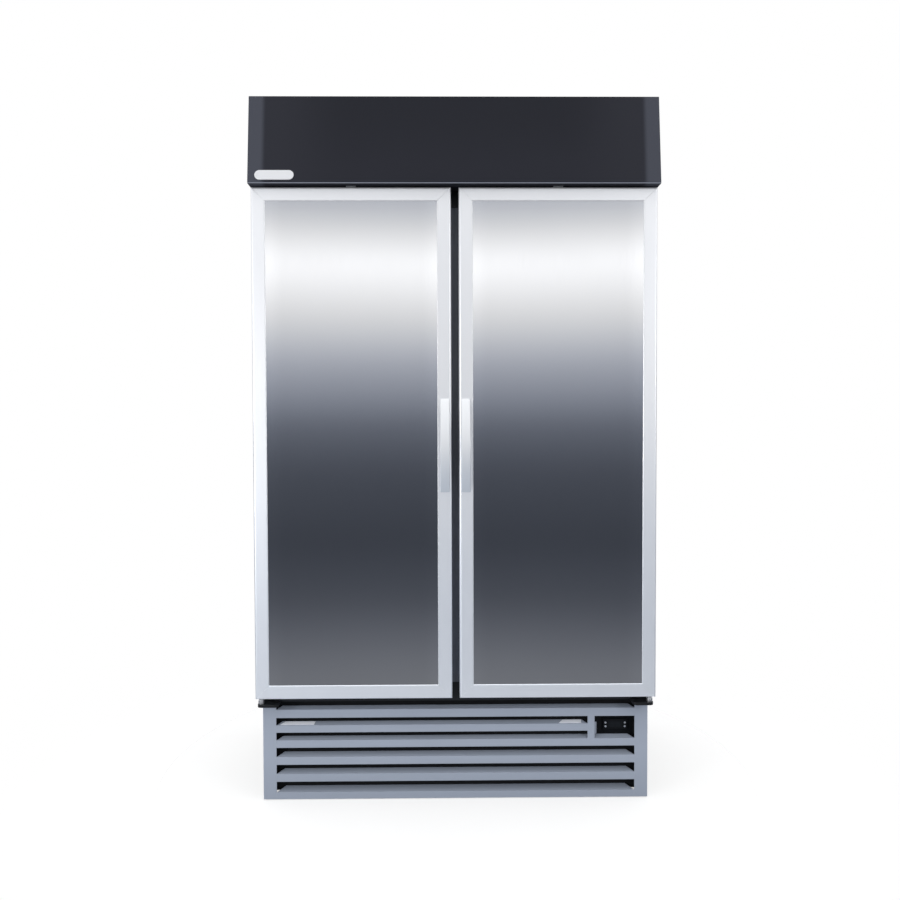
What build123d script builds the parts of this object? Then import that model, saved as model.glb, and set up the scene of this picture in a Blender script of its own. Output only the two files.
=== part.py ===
"""Upright two-door bottle cooler: solid stainless doors in aluminium frames, canopy above, louvred plinth below.

Frame: millimetres, +Z up, +X to the right as seen from the front, the doors face -Y.
The origin is on the floor, at the centre of the overall width and depth.
"""

import os
from math import atan2, cos, degrees, radians, sin

from build123d import *

os.makedirs("parts", exist_ok=True)

# ---------------------------------------------------------------- driving dimensions
HEIGHT = 2070.0
CANOPY_W = 1180.0
DEPTH = 710.0
BODY_W = 1170.0
DOORS_W = 1174.0
DOOR_GAP = 22.0
DOOR_T = 50.0
DOOR_BOTTOM = 325.0
DOOR_TOP = 1811.0
FRAME_W = 38.5  # seen width of a door frame member
GASKET_T = 9.7
HANDLE_PROJECTION = 32.0
WALL = 45.0  # insulated wall
SHEET = 1.0  # sheet metal skins
SEAM = 0.2  # gap left between sheets that butt together
CLEAR = 0.3  # gap between pieces that move past each other

# ---------------------------------------------------------------- places worked out from them
DOOR_FRONT = -DEPTH / 2 + HANDLE_PROJECTION
DOOR_BACK = DOOR_FRONT + DOOR_T
FACE_Y = DOOR_BACK + GASKET_T + CLEAR  # front of the cabinet, where the gaskets seal
BACK_Y = DEPTH / 2
BODY_X = BODY_W / 2
CANOPY_T = 2.0
BODY_TOP = HEIGHT - CANOPY_T  # the canopy's top lip lies on it
BODY_BOTTOM = 299.0

FACE_T = 30.0
OPENING_X = BODY_X - WALL  # half width of the door opening, and of the inside
OPENING_BOTTOM = 355.0
OPENING_TOP = 1767.0
MULLION_X = 36.0
INSIDE_FRONT = FACE_Y + FACE_T
INSIDE_BACK = BACK_Y - WALL
INSIDE_BOTTOM = 350.0
INSIDE_TOP = 2010.0

DOOR_INNER = DOOR_GAP / 2
DOOR_OUTER = DOORS_W / 2
PIVOT_X = DOOR_OUTER - 13.0
PIVOT_Y = (DOOR_FRONT + DOOR_BACK) / 2
PIN_R = 5.0
BUSH_R = 9.0

CANOPY_BOTTOM = DOOR_TOP + 3.0
CANOPY_OVERHANG = 24.0
CANOPY_SLOPE = 30.0  # how far the top edge stands behind the bottom edge
CANOPY_FRONT = DOOR_FRONT - CANOPY_OVERHANG
CANOPY_RETURN = FACE_Y + 115.0  # how far back the sides of the canopy reach

BASE_X = 578.0
BASE_BOTTOM = 2.5
GRILLE_TOP = 286.0
POST_W = 39.5
GRILLE_T = 1.5
SLAT_RETURN = 34.0  # how far back the posts' side returns reach
SLAT_TILT = 12.0  # degrees by which the folded flanges rise to the back
DIVIDER_X = (397.0, 418.0)
SLAT_Z = [(2.5, 23.5), (55.5, 79.0), (107.0, 130.5), (158.5, 181.0), (204.5, 226.5), (249.0, 274.0)]
SHORT_SLAT = 4  # this slat stops at the divider, to leave the controller's window

SHELF_LEVELS = [570.0, 800.0, 1030.0, 1260.0, 1490.0]
SHELF_X = (14.0, 532.0)
SHELF_Y = (INSIDE_FRONT + 22.0, INSIDE_BACK - 32.0)
SHELF_BAR_R = 3.0
SHELF_WIRE_R = 2.0

written = []


def save(part, name):
    """Labels a finished piece and writes it as its own STEP file."""
    part.label = name
    export_step(part, f"parts/{name}.step")
    written.append(name)


def slab(x, y, z, mode=Mode.ADD):
    """A plate between two (low, high) pairs on each axis, in the part being built."""
    with Locations(((x[0] + x[1]) / 2, (y[0] + y[1]) / 2, (z[0] + z[1]) / 2)):
        Box(abs(x[1] - x[0]), abs(y[1] - y[0]), abs(z[1] - z[0]), mode=mode)


def sided(side, low, high):
    """A pair of x values on the right of the centre (side 1) or mirrored to the left (side -1)."""
    return tuple(sorted((side * low, side * high)))


def post(x, y, z, radius, mode=Mode.ADD):
    """An upright cylinder between two heights."""
    with Locations((x, y, (z[0] + z[1]) / 2)):
        Cylinder(radius, z[1] - z[0], mode=mode)


def drum(x, y, z, radius, mode=Mode.ADD):
    """A cylinder lying front to back between two y values."""
    with Locations(Location((x, (y[0] + y[1]) / 2, z), (90, 0, 0))):
        Cylinder(radius, y[1] - y[0], mode=mode)


# ---------------------------------------------------------------- cabinet shell
def outer_wrap():
    """Painted steel sides, top and underside of the insulated box."""
    with BuildPart() as wrap:
        y = (INSIDE_FRONT, BACK_Y - SHEET - SEAM)
        for side in (-1, 1):
            slab(sided(side, BODY_X - SHEET, BODY_X), y, (BODY_BOTTOM, BODY_TOP))
        x = (-BODY_X + SHEET + SEAM, BODY_X - SHEET - SEAM)
        slab(x, y, (BODY_TOP - SHEET, BODY_TOP))
        slab(x, y, (BODY_BOTTOM, BODY_BOTTOM + SHEET))
    save(wrap.part, "outer_wrap")


def back_panel():
    """Flat galvanised sheet closing the back."""
    with BuildPart() as back:
        slab((-BODY_X, BODY_X), (BACK_Y - SHEET, BACK_Y), (BODY_BOTTOM, BODY_TOP))
    save(back.part, "back_panel")


def insulation():
    """Foam slabs between the outer skins and the liner."""
    skin = SHEET + SEAM
    outer_x = BODY_X - skin
    inner_x = OPENING_X + skin
    y = (INSIDE_FRONT, INSIDE_BACK + skin - SEAM)
    with BuildPart() as foam:
        for side in (-1, 1):
            slab(sided(side, inner_x, outer_x), y, (BODY_BOTTOM + skin, BODY_TOP - skin))
        x = (-inner_x + SEAM, inner_x - SEAM)
        slab(x, y, (INSIDE_TOP + skin, BODY_TOP - skin))
        slab(x, y, (BODY_BOTTOM + skin, INSIDE_BOTTOM - skin))
        slab((-outer_x, outer_x), (INSIDE_BACK + skin, BACK_Y - skin), (BODY_BOTTOM + skin, BODY_TOP - skin))
    save(foam.part, "insulation")


def inner_liner():
    """Five white coated panels that line the inside."""
    z = (INSIDE_BOTTOM - SHEET, INSIDE_TOP + SHEET)
    x = (-OPENING_X + SEAM, OPENING_X - SEAM)
    y = (INSIDE_FRONT, INSIDE_BACK - SEAM)
    with BuildPart() as liner:
        for side in (-1, 1):
            slab(sided(side, OPENING_X, OPENING_X + SHEET), y, z)
        slab(x, y, (INSIDE_TOP, INSIDE_TOP + SHEET))
        slab(x, y, (INSIDE_BOTTOM - SHEET, INSIDE_BOTTOM))
        slab((-OPENING_X - SHEET, OPENING_X + SHEET), (INSIDE_BACK, INSIDE_BACK + SHEET), z)
    save(liner.part, "inner_liner")


def face_frame():
    """Dark frame round the door opening: two stiles and two rails, that the gaskets seal on."""
    y = (FACE_Y, INSIDE_FRONT - SEAM)
    x = (-OPENING_X + SEAM, OPENING_X - SEAM)
    with BuildPart() as frame:
        for side in (-1, 1):
            slab(sided(side, OPENING_X, BODY_X), y, (BODY_BOTTOM, BODY_TOP))
        slab(x, y, (OPENING_TOP, BODY_TOP))
        slab(x, y, (BODY_BOTTOM, OPENING_BOTTOM))
    save(frame.part, "face_frame")


def centre_mullion():
    """Upright between the two doorways, with a groove down its middle."""
    groove_w, groove_d = 4.0, 2.5
    with BuildPart() as mullion:
        z = (OPENING_BOTTOM + SEAM, OPENING_TOP - SEAM)
        slab((-MULLION_X, MULLION_X), (FACE_Y, INSIDE_FRONT - SEAM), z)
        slab((-groove_w / 2, groove_w / 2), (FACE_Y, FACE_Y + groove_d), z, Mode.SUBTRACT)
    save(mullion.part, "centre_mullion")


# ---------------------------------------------------------------- canopy
def canopy():
    """Charcoal sheet fascia: sloping front, two side returns, top and underside lips."""
    slope = CANOPY_SLOPE / (HEIGHT - CANOPY_BOTTOM)
    back = CANOPY_RETURN

    def front_at(z):
        return CANOPY_FRONT + slope * (z - CANOPY_BOTTOM)

    outline = [
        (CANOPY_FRONT, CANOPY_BOTTOM),
        (front_at(HEIGHT), HEIGHT),
        (back, HEIGHT),
        (back, CANOPY_BOTTOM),
    ]
    low, high = CANOPY_BOTTOM + CANOPY_T, HEIGHT - CANOPY_T
    hollow = [
        (front_at(low) + CANOPY_T, low),
        (front_at(high) + CANOPY_T, high),
        (back + 1, high),
        (back + 1, low),
    ]
    with BuildPart() as shell:
        with BuildSketch(Plane.YZ.offset(-CANOPY_W / 2)):
            with BuildLine():
                Polyline(*outline, close=True)
            make_face()
        extrude(amount=CANOPY_W)
        lip = shell.edges().filter_by(Axis.X).group_by(Axis.Y)[0]
        fillet(lip, 4.0)
        with BuildSketch(Plane.YZ.offset(-CANOPY_W / 2 + CANOPY_T)):
            with BuildLine():
                Polyline(*hollow, close=True)
            make_face()
        extrude(amount=CANOPY_W - 2 * CANOPY_T, mode=Mode.SUBTRACT)
        inner_x = CANOPY_W / 2 - CANOPY_T
        slab((-inner_x, inner_x), (FACE_Y - 1, back + 1), (CANOPY_BOTTOM - 1, low + 1), Mode.SUBTRACT)
        for side in (-1, 1):
            post(side * PIVOT_X, PIVOT_Y, (CANOPY_BOTTOM - 1, low + 1), PIN_R + 3.0, Mode.SUBTRACT)
    save(shell.part, "canopy")


def canopy_badge():
    """Blank rounded badge near the lower left corner of the fascia."""
    width, height, thick = 111.5, 28.2, 2.0
    x, z = -514.0, 1837.5
    slope = CANOPY_SLOPE / (HEIGHT - CANOPY_BOTTOM)
    lean = degrees(atan2(CANOPY_SLOPE, HEIGHT - CANOPY_BOTTOM))
    y = CANOPY_FRONT + slope * (z - CANOPY_BOTTOM)
    face = Plane(Location((x, y, z), (90 - lean, 0, 0)))
    with BuildPart() as badge:
        with BuildSketch(face.offset(0.05)):
            SlotOverall(width, height)
        extrude(amount=thick)
        outward = Axis((x, y, z), tuple(face.z_dir))
        fillet(badge.faces().sort_by(outward)[-1].edges(), 0.9)
    save(badge.part, "canopy_badge")


def door_catches():
    """A small plate and pin under the canopy, above the middle of each door's top edge."""
    y = DOOR_FRONT + 9.0
    middle = (DOOR_INNER + DOOR_OUTER) / 2
    with BuildPart() as catches:
        for side in (-1, 1):
            slab((side * middle - 14, side * middle + 14), (y - 7, y + 7), (CANOPY_BOTTOM - 1.5, CANOPY_BOTTOM))
            post(side * middle, y, (DOOR_TOP + 0.8, CANOPY_BOTTOM - 1), 2.5)
    save(catches.part, "door_catches")


# ---------------------------------------------------------------- plinth and grille
FEET = [("front_left", -1, -1), ("front_right", 1, -1), ("rear_left", -1, 1), ("rear_right", 1, 1)]
FOOT_X = 520.0
FOOT_Y = {-1: FACE_Y + 55.0, 1: BACK_Y - 50.0}
STEM_R = 5.0
PAN_Z = (14.0, 16.0)
SKIRT_T = 1.5


def base_frame():
    """Welded plinth: floor pan, side skirts with folded top flanges, and a boss for each foot."""
    y = (FACE_Y + GRILLE_T + SEAM, BACK_Y - 6.0)
    top = BODY_BOTTOM - SEAM
    with BuildPart() as base:
        slab((-BASE_X, BASE_X), (FACE_Y + SLAT_RETURN + 4, y[1]), PAN_Z)
        for side in (-1, 1):
            slab(sided(side, BASE_X - SKIRT_T, BASE_X), (FACE_Y + SLAT_RETURN + 4, y[1]), (BASE_BOTTOM, top))
            slab(sided(side, BASE_X - 32, BASE_X), (FACE_Y + SLAT_RETURN + 4, y[1]), (top - SKIRT_T, top))
        for _, sx, sy in FEET:
            post(sx * FOOT_X, FOOT_Y[sy], (PAN_Z[0], 44.0), 11.0)
        for _, sx, sy in FEET:
            post(sx * FOOT_X, FOOT_Y[sy], (PAN_Z[0] - 1, 45.0), STEM_R + CLEAR, Mode.SUBTRACT)
    save(base.part, "base_frame")


def foot(name, sx, sy):
    """Levelling foot: moulded pad and threaded stem."""
    with BuildPart() as levelling_foot:
        post(sx * FOOT_X, FOOT_Y[sy], (0, 7.0), 20.0)
        rim = levelling_foot.edges().filter_by(GeomType.CIRCLE)
        fillet(rim, 1.5)
        post(sx * FOOT_X, FOOT_Y[sy], (6.0, 11.5), 8.0)
        post(sx * FOOT_X, FOOT_Y[sy], (11.0, 52.0), STEM_R)
    save(levelling_foot.part, f"foot_{name}")


def grille_post(side):
    """Upright at one end of the grille, with a return along the plinth's side."""
    outer, inner = BASE_X, BASE_X - POST_W
    z = (BASE_BOTTOM, GRILLE_TOP)
    with BuildPart() as upright:
        slab(sided(side, inner, outer), (FACE_Y, FACE_Y + GRILLE_T), z)
        slab(sided(side, outer - GRILLE_T, outer), (FACE_Y, FACE_Y + SLAT_RETURN), z)
        outer_corner = upright.edges().filter_by(Axis.Z).group_by(Axis.Y)[0].sort_by(Axis.X)
        fillet(outer_corner[-1 if side > 0 else 0], 1.2)
    save(upright.part, "grille_post_right" if side > 0 else "grille_post_left")


def grille_slats():
    """Six slats lanced from the sheet: each face carries the flange folded back from the opening above it."""
    half = BASE_X - POST_W
    tilt = radians(SLAT_TILT)
    with BuildPart() as slats:
        for row, (low, high) in enumerate(SLAT_Z):
            right = DIVIDER_X[0] if row == SHORT_SLAT else half
            above = SLAT_Z[row + 1][0] if row + 1 < len(SLAT_Z) else high + 23.0
            length = above - high
            taper = 0.7 * length
            slab((-half, right), (FACE_Y, FACE_Y + GRILLE_T), (low, high))
            fold = Plane((0, FACE_Y + GRILLE_T, high - GRILLE_T), (1, 0, 0), (0, -sin(tilt), cos(tilt)))
            with BuildSketch(fold):
                with BuildLine():
                    Polyline((-half, 0), (right, 0), (right - taper, length), (-half + taper, length), close=True)
                make_face()
            extrude(amount=GRILLE_T)
        folds = slats.edges().filter_by(Axis.X).group_by(Axis.Y)[0]
        fillet([edge for edge in folds if any(abs(edge.center().Z - high) < 0.1 for _, high in SLAT_Z)], 0.7)
    save(slats.part, "grille_slats")


def grille_divider():
    """Short upright between the slats and the controller's window."""
    z = (SLAT_Z[SHORT_SLAT - 1][1], SLAT_Z[SHORT_SLAT + 1][0])
    with BuildPart() as divider:
        slab(DIVIDER_X, (FACE_Y, FACE_Y + GRILLE_T), z)
    save(divider.part, "grille_divider")


# ---------------------------------------------------------------- controller
CONTROL_X, CONTROL_Z = 486.5, 212.0
CONTROL_FACE = FACE_Y + 36.0  # front of the carrier plate
KEY_R = 3.0
KEY_TRAVEL = 0.8
KEYS = [(-29.5, 5.7), (-29.5, -5.7), (29.5, 5.7), (29.5, -5.7)]


def controller_panel():
    """Black carrier plate that fills the window behind the grille, cut out for the controller."""
    window_x = (DIVIDER_X[1] - 3, BASE_X - POST_W - 1)
    window_z = (SLAT_Z[3][1] - 2, SLAT_Z[5][0] + 6)
    y = (CONTROL_FACE, CONTROL_FACE + 2)
    cut_x = (CONTROL_X - 35.5, CONTROL_X + 35.5)
    cut_z = (CONTROL_Z - 14.5, CONTROL_Z + 14.5)
    with BuildPart() as panel:
        slab(window_x, y, window_z)
        slab(cut_x, (y[0] - 1, y[1] + 1), cut_z, Mode.SUBTRACT)
    save(panel.part, "controller_panel")


def controller_bezel():
    """Thermostat body and front bezel, with a display recess and four key holes."""
    face_y = CONTROL_FACE
    with BuildPart() as bezel:
        slab((CONTROL_X - 38, CONTROL_X + 38), (face_y - 6, face_y - SEAM), (CONTROL_Z - 17, CONTROL_Z + 17))
        rim = bezel.faces().sort_by(Axis.Y)[0].edges()
        fillet(rim, 2.0)
        slab((CONTROL_X - 35, CONTROL_X + 35), (face_y - 4, face_y + 50), (CONTROL_Z - 14, CONTROL_Z + 14))
        slab((CONTROL_X - 19, CONTROL_X + 19), (face_y - 7, face_y - 4.5), (CONTROL_Z - 9, CONTROL_Z + 9), Mode.SUBTRACT)
        for dx, dz in KEYS:
            drum(CONTROL_X + dx, (face_y - 7, face_y - 1), CONTROL_Z + dz, KEY_R + 0.25, Mode.SUBTRACT)
    save(bezel.part, "controller_bezel")


def controller_display():
    """Smoked window over the readout."""
    face_y = CONTROL_FACE
    with BuildPart() as display:
        slab((CONTROL_X - 18.9, CONTROL_X + 18.9), (face_y - 5.7, face_y - 4.5), (CONTROL_Z - 8.9, CONTROL_Z + 8.9))
    save(display.part, "controller_display")


def controller_key(number, dx, dz):
    """One round push key."""
    face_y = CONTROL_FACE
    with BuildPart() as key:
        drum(CONTROL_X + dx, (face_y - 7.2, face_y - 1 - KEY_TRAVEL - 0.2), CONTROL_Z + dz, KEY_R)
        fillet(key.faces().sort_by(Axis.Y)[0].edges(), 0.8)
    save(key.part, f"controller_key_{number}")


# ---------------------------------------------------------------- doors
def door_frame(side):
    """Four hollow mitred aluminium members, bored for the hinge bushes."""
    x0, x1, z0, z1, w = DOOR_INNER, DOOR_OUTER, DOOR_BOTTOM, DOOR_TOP, FRAME_W
    g = SEAM  # half of each mitre's hairline, measured along the frame's edge
    members = [
        [(x0, z0 + g), (x0 + w, z0 + w + g), (x0 + w, z1 - w - g), (x0, z1 - g)],
        [(x1, z0 + g), (x1 - w, z0 + w + g), (x1 - w, z1 - w - g), (x1, z1 - g)],
        [(x0 + g, z0), (x0 + w + g, z0 + w), (x1 - w - g, z0 + w), (x1 - g, z0)],
        [(x0 + g, z1), (x0 + w + g, z1 - w), (x1 - w - g, z1 - w), (x1 - g, z1)],
    ]
    wall = 3.0
    cavities = [
        ((x0 + wall, x0 + w - wall), (z0, z1)),
        ((x1 - w + wall, x1 - wall), (z0, z1)),
        ((x0, x1), (z0 + wall, z0 + w - wall)),
        ((x0, x1), (z1 - w + wall, z1 - wall)),
    ]
    name = "right_door_frame" if side > 0 else "left_door_frame"
    with BuildPart() as frame:
        for outline in members:
            with BuildSketch(Plane.XZ.offset(-DOOR_BACK)):
                with BuildLine():
                    Polyline(*[(side * x, z) for x, z in outline], close=True)
                make_face()
            extrude(amount=DOOR_T)
        front = frame.edges().group_by(Axis.Y)[0]
        upright = front.filter_by(Axis.Z).sort_by(Axis.X)
        level = front.filter_by(Axis.X).sort_by(Axis.Z)
        fillet([upright[0], upright[-1], level[0], level[-1]], 6.0)
        for x, z in cavities:
            slab(sided(side, *x), (DOOR_FRONT + 8.5, DOOR_BACK - wall), z, Mode.SUBTRACT)
        for z in ((z0 - 1, z0 + 24), (z1 - 24, z1 + 1)):
            post(side * PIVOT_X, PIVOT_Y, z, BUSH_R + 0.05, Mode.SUBTRACT)
    save(frame.part, name)


def door_fill(side):
    """The door's stainless front panel, foam core and inner panel, between the frame members."""
    prefix = "right_door" if side > 0 else "left_door"
    fit = FRAME_W + SEAM
    x = sided(side, DOOR_INNER + fit, DOOR_OUTER - fit)
    z = (DOOR_BOTTOM + fit, DOOR_TOP - fit)
    panel_y = (DOOR_FRONT + 1.5, DOOR_FRONT + 2.7)
    inner_y = (DOOR_BACK - 1.5, DOOR_BACK)
    with BuildPart() as panel:
        slab(x, panel_y, z)
    save(panel.part, f"{prefix}_panel")
    with BuildPart() as core:
        slab(x, (panel_y[1], inner_y[0]), z)
    save(core.part, f"{prefix}_core")
    with BuildPart() as inner:
        slab(x, inner_y, z)
    save(inner.part, f"{prefix}_inner_panel")


def door_gasket(side):
    """Magnetic gasket round the back of the door: four mitred strips."""
    w, g = 18.0, 0.1
    x0, x1 = DOOR_INNER + 4, DOOR_OUTER - 16
    z0, z1 = DOOR_BOTTOM + 5, DOOR_TOP - 5
    strips = [
        [(x0, z0 + g), (x0 + w, z0 + w + g), (x0 + w, z1 - w - g), (x0, z1 - g)],
        [(x1, z0 + g), (x1 - w, z0 + w + g), (x1 - w, z1 - w - g), (x1, z1 - g)],
        [(x0 + g, z0), (x0 + w + g, z0 + w), (x1 - w - g, z0 + w), (x1 - g, z0)],
        [(x0 + g, z1), (x0 + w + g, z1 - w), (x1 - w - g, z1 - w), (x1 - g, z1)],
    ]
    with BuildPart() as gasket:
        for outline in strips:
            with BuildSketch(Plane.XZ.offset(-DOOR_BACK - GASKET_T)):
                with BuildLine():
                    Polyline(*[(side * x, z) for x, z in outline], close=True)
                make_face()
            extrude(amount=GASKET_T)
    save(gasket.part, "right_door_gasket" if side > 0 else "left_door_gasket")


HANDLE_Z = (931.0, 1202.0)
HANDLE_W = 26.0
HANDLE_T = 6.0


def door_handle(side):
    """Bowed aluminium pull, landed on the frame's inner stile at both ends."""
    middle_x = side * (DOOR_INNER + FRAME_W / 2)
    z0, z1 = HANDLE_Z
    mid = (z0 + z1) / 2
    foot_l = 20.0
    with BuildPart() as handle:
        with BuildSketch(Plane.YZ.offset(middle_x - HANDLE_W / 2)):
            with BuildLine():
                front = ThreePointArc(
                    (DOOR_FRONT - 2.0, z0), (DOOR_FRONT - HANDLE_PROJECTION, mid), (DOOR_FRONT - 2.0, z1)
                )
                Line(front @ 1, (DOOR_FRONT, z1))
                Line((DOOR_FRONT, z1), (DOOR_FRONT, z1 - foot_l))
                back = ThreePointArc(
                    (DOOR_FRONT, z1 - foot_l),
                    (DOOR_FRONT - HANDLE_PROJECTION + HANDLE_T, mid),
                    (DOOR_FRONT, z0 + foot_l),
                )
                Line(back @ 1, (DOOR_FRONT, z0))
                Line((DOOR_FRONT, z0), front @ 0)
            make_face()
        extrude(amount=HANDLE_W)
        curved = handle.edges().filter_by(GeomType.CIRCLE)
        fillet(curved, 1.6)
    save(handle.part, "right_door_handle" if side > 0 else "left_door_handle")


def door_bushes(side):
    """The two hinge bushes pressed into the door: the lower one is the self-closing cartridge."""
    low = (DOOR_BOTTOM - 19.0, DOOR_BOTTOM + 23.5)
    high = (DOOR_TOP - 23.5, DOOR_TOP + 0.5)
    with BuildPart() as bushes:
        for z in (low, high):
            post(side * PIVOT_X, PIVOT_Y, z, BUSH_R)
        collar = (DOOR_BOTTOM - 9.0, DOOR_BOTTOM - 0.5)
        post(side * PIVOT_X, PIVOT_Y, collar, BUSH_R + 1, Mode.SUBTRACT)
        post(side * PIVOT_X, PIVOT_Y, (collar[0] - 1, collar[1] + 1), PIN_R + 2.0)
        for z in (low, high):
            post(side * PIVOT_X, PIVOT_Y, (z[0] - 1, z[1] + 1), PIN_R + 0.1, Mode.SUBTRACT)
    save(bushes.part, "right_door_bushes" if side > 0 else "left_door_bushes")


def bottom_hinges():
    """Black brackets on the face's bottom rail, each with an upright pin and a nut beneath."""
    plate_z = (DOOR_BOTTOM - 27.5, DOOR_BOTTOM - 19.5)
    with BuildPart() as hinges:
        for side in (-1, 1):
            slab(sided(side, 524, 584), (FACE_Y - 5, FACE_Y), (plate_z[0], DOOR_BOTTOM - 3))
            with BuildSketch(Plane.XY.offset(plate_z[0])):
                with Locations((side * 554, (PIVOT_Y - 15 + FACE_Y) / 2)):
                    Rectangle(60, FACE_Y - PIVOT_Y + 15)
                fillet(vertices().group_by(Axis.Y)[0], 12.0)
            extrude(amount=plate_z[1] - plate_z[0])
            post(side * PIVOT_X, PIVOT_Y, (plate_z[0] - 3.5, DOOR_BOTTOM + 22), PIN_R)
            with BuildSketch(Plane.XY.offset(plate_z[0] - 2.5)):
                with Locations((side * PIVOT_X, PIVOT_Y)):
                    RegularPolygon(8.5, 6)
            extrude(amount=2.5)
    save(hinges.part, "bottom_hinge_brackets")


def top_hinges():
    """Brackets on the face's top rail, hidden in the canopy, each with a pin down into the door."""
    plate_z = (CANOPY_BOTTOM + CANOPY_T + 1, CANOPY_BOTTOM + CANOPY_T + 6)
    with BuildPart() as hinges:
        for side in (-1, 1):
            slab(sided(side, 524, 584), (FACE_Y - 5, FACE_Y), (plate_z[0], plate_z[1] + 30))
            slab(sided(side, 524, 584), (PIVOT_Y - 12, FACE_Y), plate_z)
            post(side * PIVOT_X, PIVOT_Y, (DOOR_TOP - 22, plate_z[1] + 4), PIN_R)
    save(hinges.part, "top_hinge_brackets")


# ---------------------------------------------------------------- inside
def shelves(side):
    """Wire shelves of one bay: a rim of round bar, cross bars and front-to-back wires."""
    x0, x1 = SHELF_X
    y0, y1 = SHELF_Y
    wires = 17
    step = (x1 - x0) / (wires + 1)
    middle = (side * (x0 + x1) / 2, (y0 + y1) / 2)
    with BuildSketch(Plane.XY) as outline:
        with Locations(middle):
            RectangleRounded(x1 - x0, y1 - y0, 12.0)
    rim = outline.face().outer_wire()
    with BuildPart() as shelf:
        with BuildSketch(Plane(origin=rim @ 0, z_dir=rim % 0)):
            Circle(SHELF_BAR_R)
        sweep(path=rim)
        for k in range(1, wires + 1):
            drum(side * (x0 + k * step), (y0, y1), 1.5, SHELF_WIRE_R)
        for share in (0.33, 0.67):
            with Locations(Location((middle[0], y0 + share * (y1 - y0), -1.5), (0, 90, 0))):
                Cylinder(SHELF_BAR_R - 0.5, x1 - x0)
    one = shelf.part
    stack = Compound([Pos(0, 0, level) * one for level in SHELF_LEVELS])
    save(stack, "shelves_right" if side > 0 else "shelves_left")


PILASTER_X, PILASTER_W, PILASTER_T = OPENING_X, 22.0, 2.0
PILASTER_Y = (SHELF_Y[0] + 45.0, SHELF_Y[1] - 45.0)
PILASTER_Z = (INSIDE_BOTTOM + 60, 1710.0)


def shelf_uprights():
    """Slotted strips that carry the shelf clips: two on each side wall, and one front and back on the centre."""
    with BuildPart() as strips:
        for side in (-1, 1):
            for y in PILASTER_Y:
                x = sided(side, PILASTER_X - PILASTER_T - 0.2, PILASTER_X - 0.2)
                slab(x, (y - PILASTER_W / 2, y + PILASTER_W / 2), PILASTER_Z)
        slab((-24, 24), (INSIDE_FRONT, INSIDE_FRONT + PILASTER_T), PILASTER_Z)
        slab((-24, 24), (INSIDE_BACK - PILASTER_T - 0.2, INSIDE_BACK - 0.2), PILASTER_Z)
    save(strips.part, "shelf_uprights")


def shelf_clips():
    """Zinc clips under the shelf rims, hooked on the uprights."""
    drop = SHELF_BAR_R + 0.15
    with BuildPart() as clips:
        for level in SHELF_LEVELS:
            z = (level - drop - 2.0, level - drop)
            hook = (level - drop - 16, level - drop)
            for side in (-1, 1):
                wall = PILASTER_X - PILASTER_T - 0.4
                for y in PILASTER_Y:
                    slab(sided(side, wall - 14, wall), (y - 8, y + 8), z)
                    slab(sided(side, wall - 2, wall), (y - 8, y + 8), hook)
                front = INSIDE_FRONT + PILASTER_T + 0.2
                slab(sided(side, 6, 22), (front, front + 26), z)
                slab(sided(side, 6, 22), (front, front + 2), hook)
                rear = INSIDE_BACK - PILASTER_T - 0.4
                slab(sided(side, 6, 22), (rear - 36, rear), z)
                slab(sided(side, 6, 22), (rear - 2, rear), hook)
    save(clips.part, "shelf_clips")


def interior_light():
    """Two LED battens on the inner sides of the face frame's stiles, near the front."""
    with BuildPart() as light:
        for side in (-1, 1):
            slab(sided(side, OPENING_X - 17, OPENING_X - 1), (INSIDE_FRONT + 1, INSIDE_FRONT + 16), (620, 1560))
        lens = light.edges().filter_by(Axis.Z)
        fillet(lens, 3.0)
    save(light.part, "interior_light")


EVAP_X, EVAP_Y, EVAP_Z = 470.0, (INSIDE_BACK - 300.0, INSIDE_BACK - 4.0), (1810.0, 2006.0)
EVAP_FANS = (-215.0, 215.0)
EVAP_FAN_Z = 1908.0
EVAP_FAN_R = 84.0


def evaporator_cover():
    """White housing under the ceiling, open at the back, with two round fan mouths in front."""
    t = 1.5
    with BuildPart() as cover:
        slab((-EVAP_X, EVAP_X), EVAP_Y, EVAP_Z)
        fillet(cover.edges().filter_by(Axis.X).group_by(Axis.Y)[0], 8.0)
        inner_z = (EVAP_Z[0] + t, EVAP_Z[1] - t)
        slab((-EVAP_X + t, EVAP_X - t), (EVAP_Y[0] + t, EVAP_Y[1] + 1), inner_z, Mode.SUBTRACT)
        for x in EVAP_FANS:
            drum(x, (EVAP_Y[0] - 1, EVAP_Y[0] + 12), EVAP_FAN_Z, EVAP_FAN_R + 6, Mode.SUBTRACT)
    save(cover.part, "evaporator_cover")


def finned_coil(name, x, y, z, fins, rows):
    """Plate fins on straight tubes, joined at the ends by header plates."""
    tube_r = 5.0
    with BuildPart() as coil:
        pitch = (x[1] - x[0] - 3) / (fins - 1)
        for k in range(fins):
            at = x[0] + k * pitch
            slab((at, at + (3.0 if k in (0, fins - 1) else 0.8)), y, z)
        rise = (z[1] - z[0]) / rows
        for k in range(rows):
            with Locations(Location(((x[0] + x[1]) / 2, (y[0] + y[1]) / 2, z[0] + (k + 0.5) * rise), (0, 90, 0))):
                Cylinder(tube_r, x[1] - x[0] + 16)
    save(coil.part, name)


MOTOR_GAP = 17.0  # from the middle of a fan blade to the face of its motor


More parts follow.
